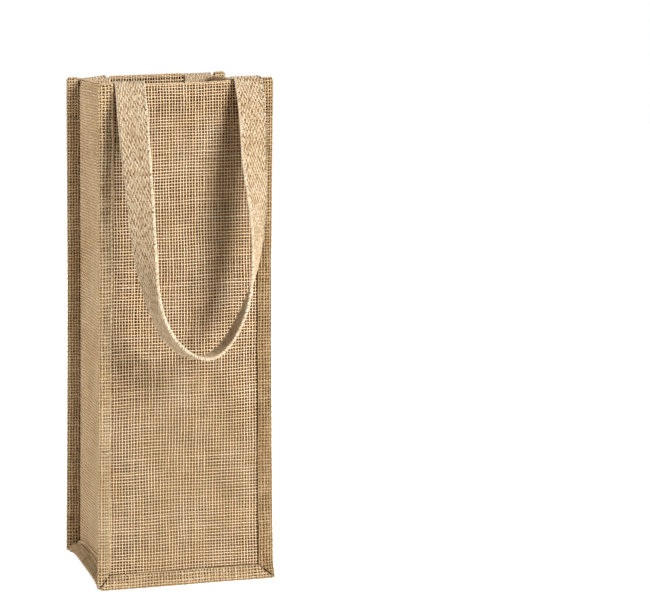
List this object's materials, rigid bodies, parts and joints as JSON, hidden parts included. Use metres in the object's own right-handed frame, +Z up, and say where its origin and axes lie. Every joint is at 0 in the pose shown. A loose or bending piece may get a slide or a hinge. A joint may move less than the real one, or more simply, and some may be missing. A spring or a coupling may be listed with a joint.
{
  "type": "bottle carrier bag",
  "caption": "Upright boxed bag of woven jute that carries a bottle, with bound outside seams, a hemmed open mouth and webbing handles that swing up over the rim.",
  "frame": {"origin": "on the floor under the middle of the bag", "axes": "+Z up, the front panel faces -Y, +X to the right seen from the front"},
  "size_m": [0.104, 0.1898, 0.2984],
  "materials": {
    "jute_cloth": "coarse plain-weave jute, matt, laminated inside",
    "binding_cloth": "folded plain-weave jute, matt",
    "handle_webbing": "close twill-woven jute webbing with smooth selvedges",
    "sewing_thread": "twisted jute-coloured sewing thread"
  },
  "bodies": {
    "bag": {"front_panel": "jute_cloth", "front_base_binding": "binding_cloth", "front_binding_stitching": "sewing_thread", "front_handle_stitching": "sewing_thread", "front_left_binding": "binding_cloth", "front_handle_left_end": "handle_webbing", "front_handle_left_fold": "handle_webbing", "front_right_binding": "binding_cloth", "front_handle_right_end": "handle_webbing", "front_handle_right_fold": "handle_webbing", "back_panel": "jute_cloth", "back_base_binding": "binding_cloth", "back_binding_stitching": "sewing_thread", "back_handle_stitching": "sewing_thread", "back_left_binding": "binding_cloth", "back_handle_left_end": "handle_webbing", "back_handle_left_fold": "handle_webbing", "back_right_binding": "binding_cloth", "back_handle_right_end": "handle_webbing", "back_handle_right_fold": "handle_webbing", "left_side_panel": "jute_cloth", "left_base_binding": "binding_cloth", "right_side_panel": "jute_cloth", "right_base_binding": "binding_cloth", "base_panel": "jute_cloth", "hem_stitching": "sewing_thread", "side_base_stitching": "sewing_thread"},
    "front_handle": {"front_handle_loop": "handle_webbing"},
    "back_handle": {"back_handle_loop": "handle_webbing"}
  },
  "joints": [
    {"name": "front_handle_swing", "type": "hinge", "parent": "bag", "child": "front_handle", "pos_m": [0, -0.0488, 0.2944], "axis": [-1, 0, 0], "range_deg": [-7, 168], "deforming": ["front_handle_left_fold", "front_handle_right_fold"]},
    {"name": "back_handle_swing", "type": "hinge", "parent": "bag", "child": "back_handle", "pos_m": [0, 0.0488, 0.2944], "axis": [1, 0, 0], "range_deg": [-7, 168], "deforming": ["back_handle_left_fold", "back_handle_right_fold"]}
  ]
}
